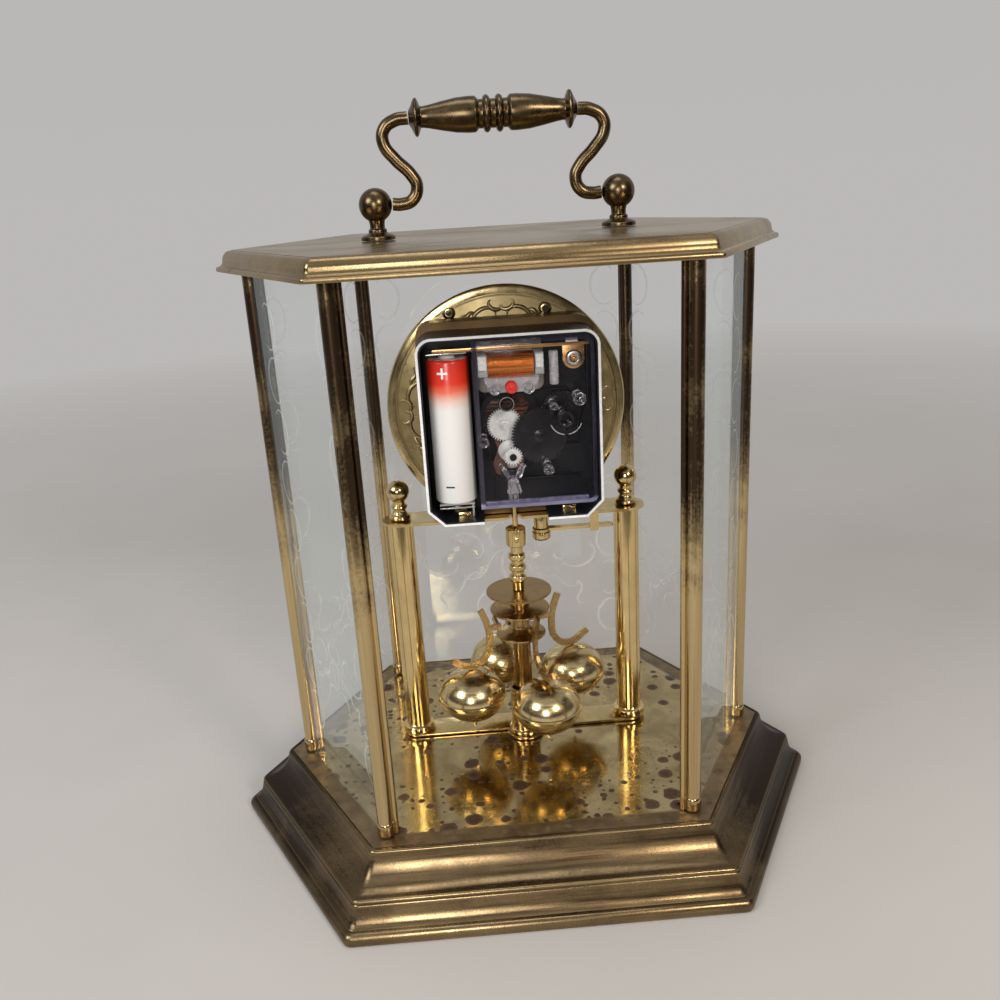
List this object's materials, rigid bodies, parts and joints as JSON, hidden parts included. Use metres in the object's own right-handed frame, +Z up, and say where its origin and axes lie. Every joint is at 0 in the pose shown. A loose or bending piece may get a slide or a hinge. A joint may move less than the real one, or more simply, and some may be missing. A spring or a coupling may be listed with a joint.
{
  "type": "anniversary clock",
  "caption": "Glazed hexagonal brass anniversary clock with a swinging carrying handle, rotating ball pendulum, dial on a pillar stand and a battery quartz movement open to the rear.",
  "frame": {"origin": "centre of the underside of the base", "axes": "+Z up, -Y towards the dial's front, +X to the right as seen from the front"},
  "size_m": [0.2174, 0.1574, 0.2506],
  "materials": {
    "case_brass": "brushed and lacquered, with age spots",
    "bright_brass": "polished",
    "antique_brass": "darkened",
    "pane_glass": "clear with etched scrolls",
    "felt": "felt",
    "black_plastic": "moulded",
    "white_plastic": "moulded",
    "clear_plastic": "transparent in the real object",
    "copper": "enamelled copper wire",
    "steel": "plated",
    "battery_skin": "printed sleeve, red fading to white",
    "hand_black": "black lacquer"
  },
  "bodies": {
    "clock": {"base_shell": "case_brass", "floor_plate": "bright_brass", "base_cover": "felt", "roof": "case_brass", "post_rear_right": "case_brass", "post_side_right": "case_brass", "post_front_right": "case_brass", "post_front_left": "case_brass", "post_side_left": "case_brass", "post_rear_left": "case_brass", "pane_rear_right": "pane_glass", "pane_front_right": "pane_glass", "pane_front": "pane_glass", "pane_front_left": "pane_glass", "pane_rear_left": "pane_glass", "handle_post_left": "antique_brass", "handle_post_right": "antique_brass", "foot_strip": "bright_brass", "pillar_left": "bright_brass", "pillar_right": "bright_brass", "finial_left": "case_brass", "finial_right": "case_brass", "platform_strip": "bright_brass", "lock_screw": "bright_brass", "guide_cup": "bright_brass", "dial_plate": "case_brass", "dial_bezel": "case_brass", "dial_nut": "case_brass", "dial_spacer": "case_brass", "movement_case": "black_plastic", "movement_cover": "clear_plastic", "contact_positive": "steel", "contact_negative": "steel", "coil_winding": "copper", "coil_bobbin": "white_plastic", "stator_plate": "steel"},
    "handle": {"handle_arm_left": "antique_brass", "handle_arm_right": "antique_brass", "handle_grip": "antique_brass"},
    "pendulum": {"suspension_rod": "case_brass", "suspension_yoke": "clear_plastic", "pendulum_spindle": "bright_brass", "regulator_disc": "bright_brass", "pendulum_hub": "bright_brass", "pendulum_arm_1": "bright_brass", "pendulum_arm_2": "bright_brass", "pendulum_arm_3": "bright_brass", "pendulum_arm_4": "bright_brass", "pendulum_ball_1": "bright_brass", "pendulum_ball_2": "bright_brass", "pendulum_ball_3": "bright_brass", "pendulum_ball_4": "bright_brass"},
    "minute_works": {"minute_hand": "hand_black", "centre_wheel": "white_plastic"},
    "hour_works": {"hour_hand": "hand_black"},
    "third_works": {"third_wheel": "black_plastic"},
    "drive_works": {"drive_wheel": "white_plastic"},
    "knob": {"setting_knob": "black_plastic"},
    "lever": {"lock_lever": "bright_brass"},
    "cell": {"battery": "battery_skin"}
  },
  "joints": [
    {"name": "handle_swing", "type": "hinge", "parent": "clock", "child": "handle", "pos_m": [0, 0, 0.2195], "axis": [1, 0, 0], "range_deg": [-100, 100]},
    {"name": "pendulum_spin", "type": "hinge", "parent": "clock", "child": "pendulum", "pos_m": [0, 0, 0.1], "axis": [0, 0, 1], "range_deg": [-180, 180]},
    {"name": "minute_turn", "type": "hinge", "parent": "clock", "child": "minute_works", "pos_m": [0, 0, 0.1485], "axis": [0, 1, 0], "continuous": true},
    {"name": "hour_turn", "type": "hinge", "parent": "clock", "child": "hour_works", "pos_m": [0, 0, 0.1485], "axis": [0, 1, 0], "continuous": true},
    {"name": "third_turn", "type": "hinge", "parent": "clock", "child": "third_works", "pos_m": [-0.0098, 0, 0.1416], "axis": [0, 1, 0], "continuous": true},
    {"name": "drive_turn", "type": "hinge", "parent": "clock", "child": "drive_works", "pos_m": [-0.0001, 0, 0.1354], "axis": [0, 1, 0], "continuous": true},
    {"name": "knob_turn", "type": "hinge", "parent": "clock", "child": "knob", "pos_m": [-0.0181, 0, 0.1487], "axis": [0, 1, 0], "continuous": true},
    {"name": "lever_swing", "type": "hinge", "parent": "clock", "child": "lever", "pos_m": [-0.0095, -0.0032, 0.1046], "axis": [0, 0, 1], "range_deg": [0, 35]},
    {"name": "battery_slide", "type": "slide", "parent": "clock", "child": "cell", "axis": [0, 1, 0], "range_m": [0, 0.018]}
  ],
  "couplings": [
    {"joint": "hour_turn", "follows": "minute_turn", "ratio": 0.083333},
    {"joint": "third_turn", "follows": "minute_turn", "ratio": -7.5},
    {"joint": "drive_turn", "follows": "minute_turn", "ratio": 60},
    {"joint": "knob_turn", "follows": "minute_turn", "ratio": -1.3636}
  ]
}
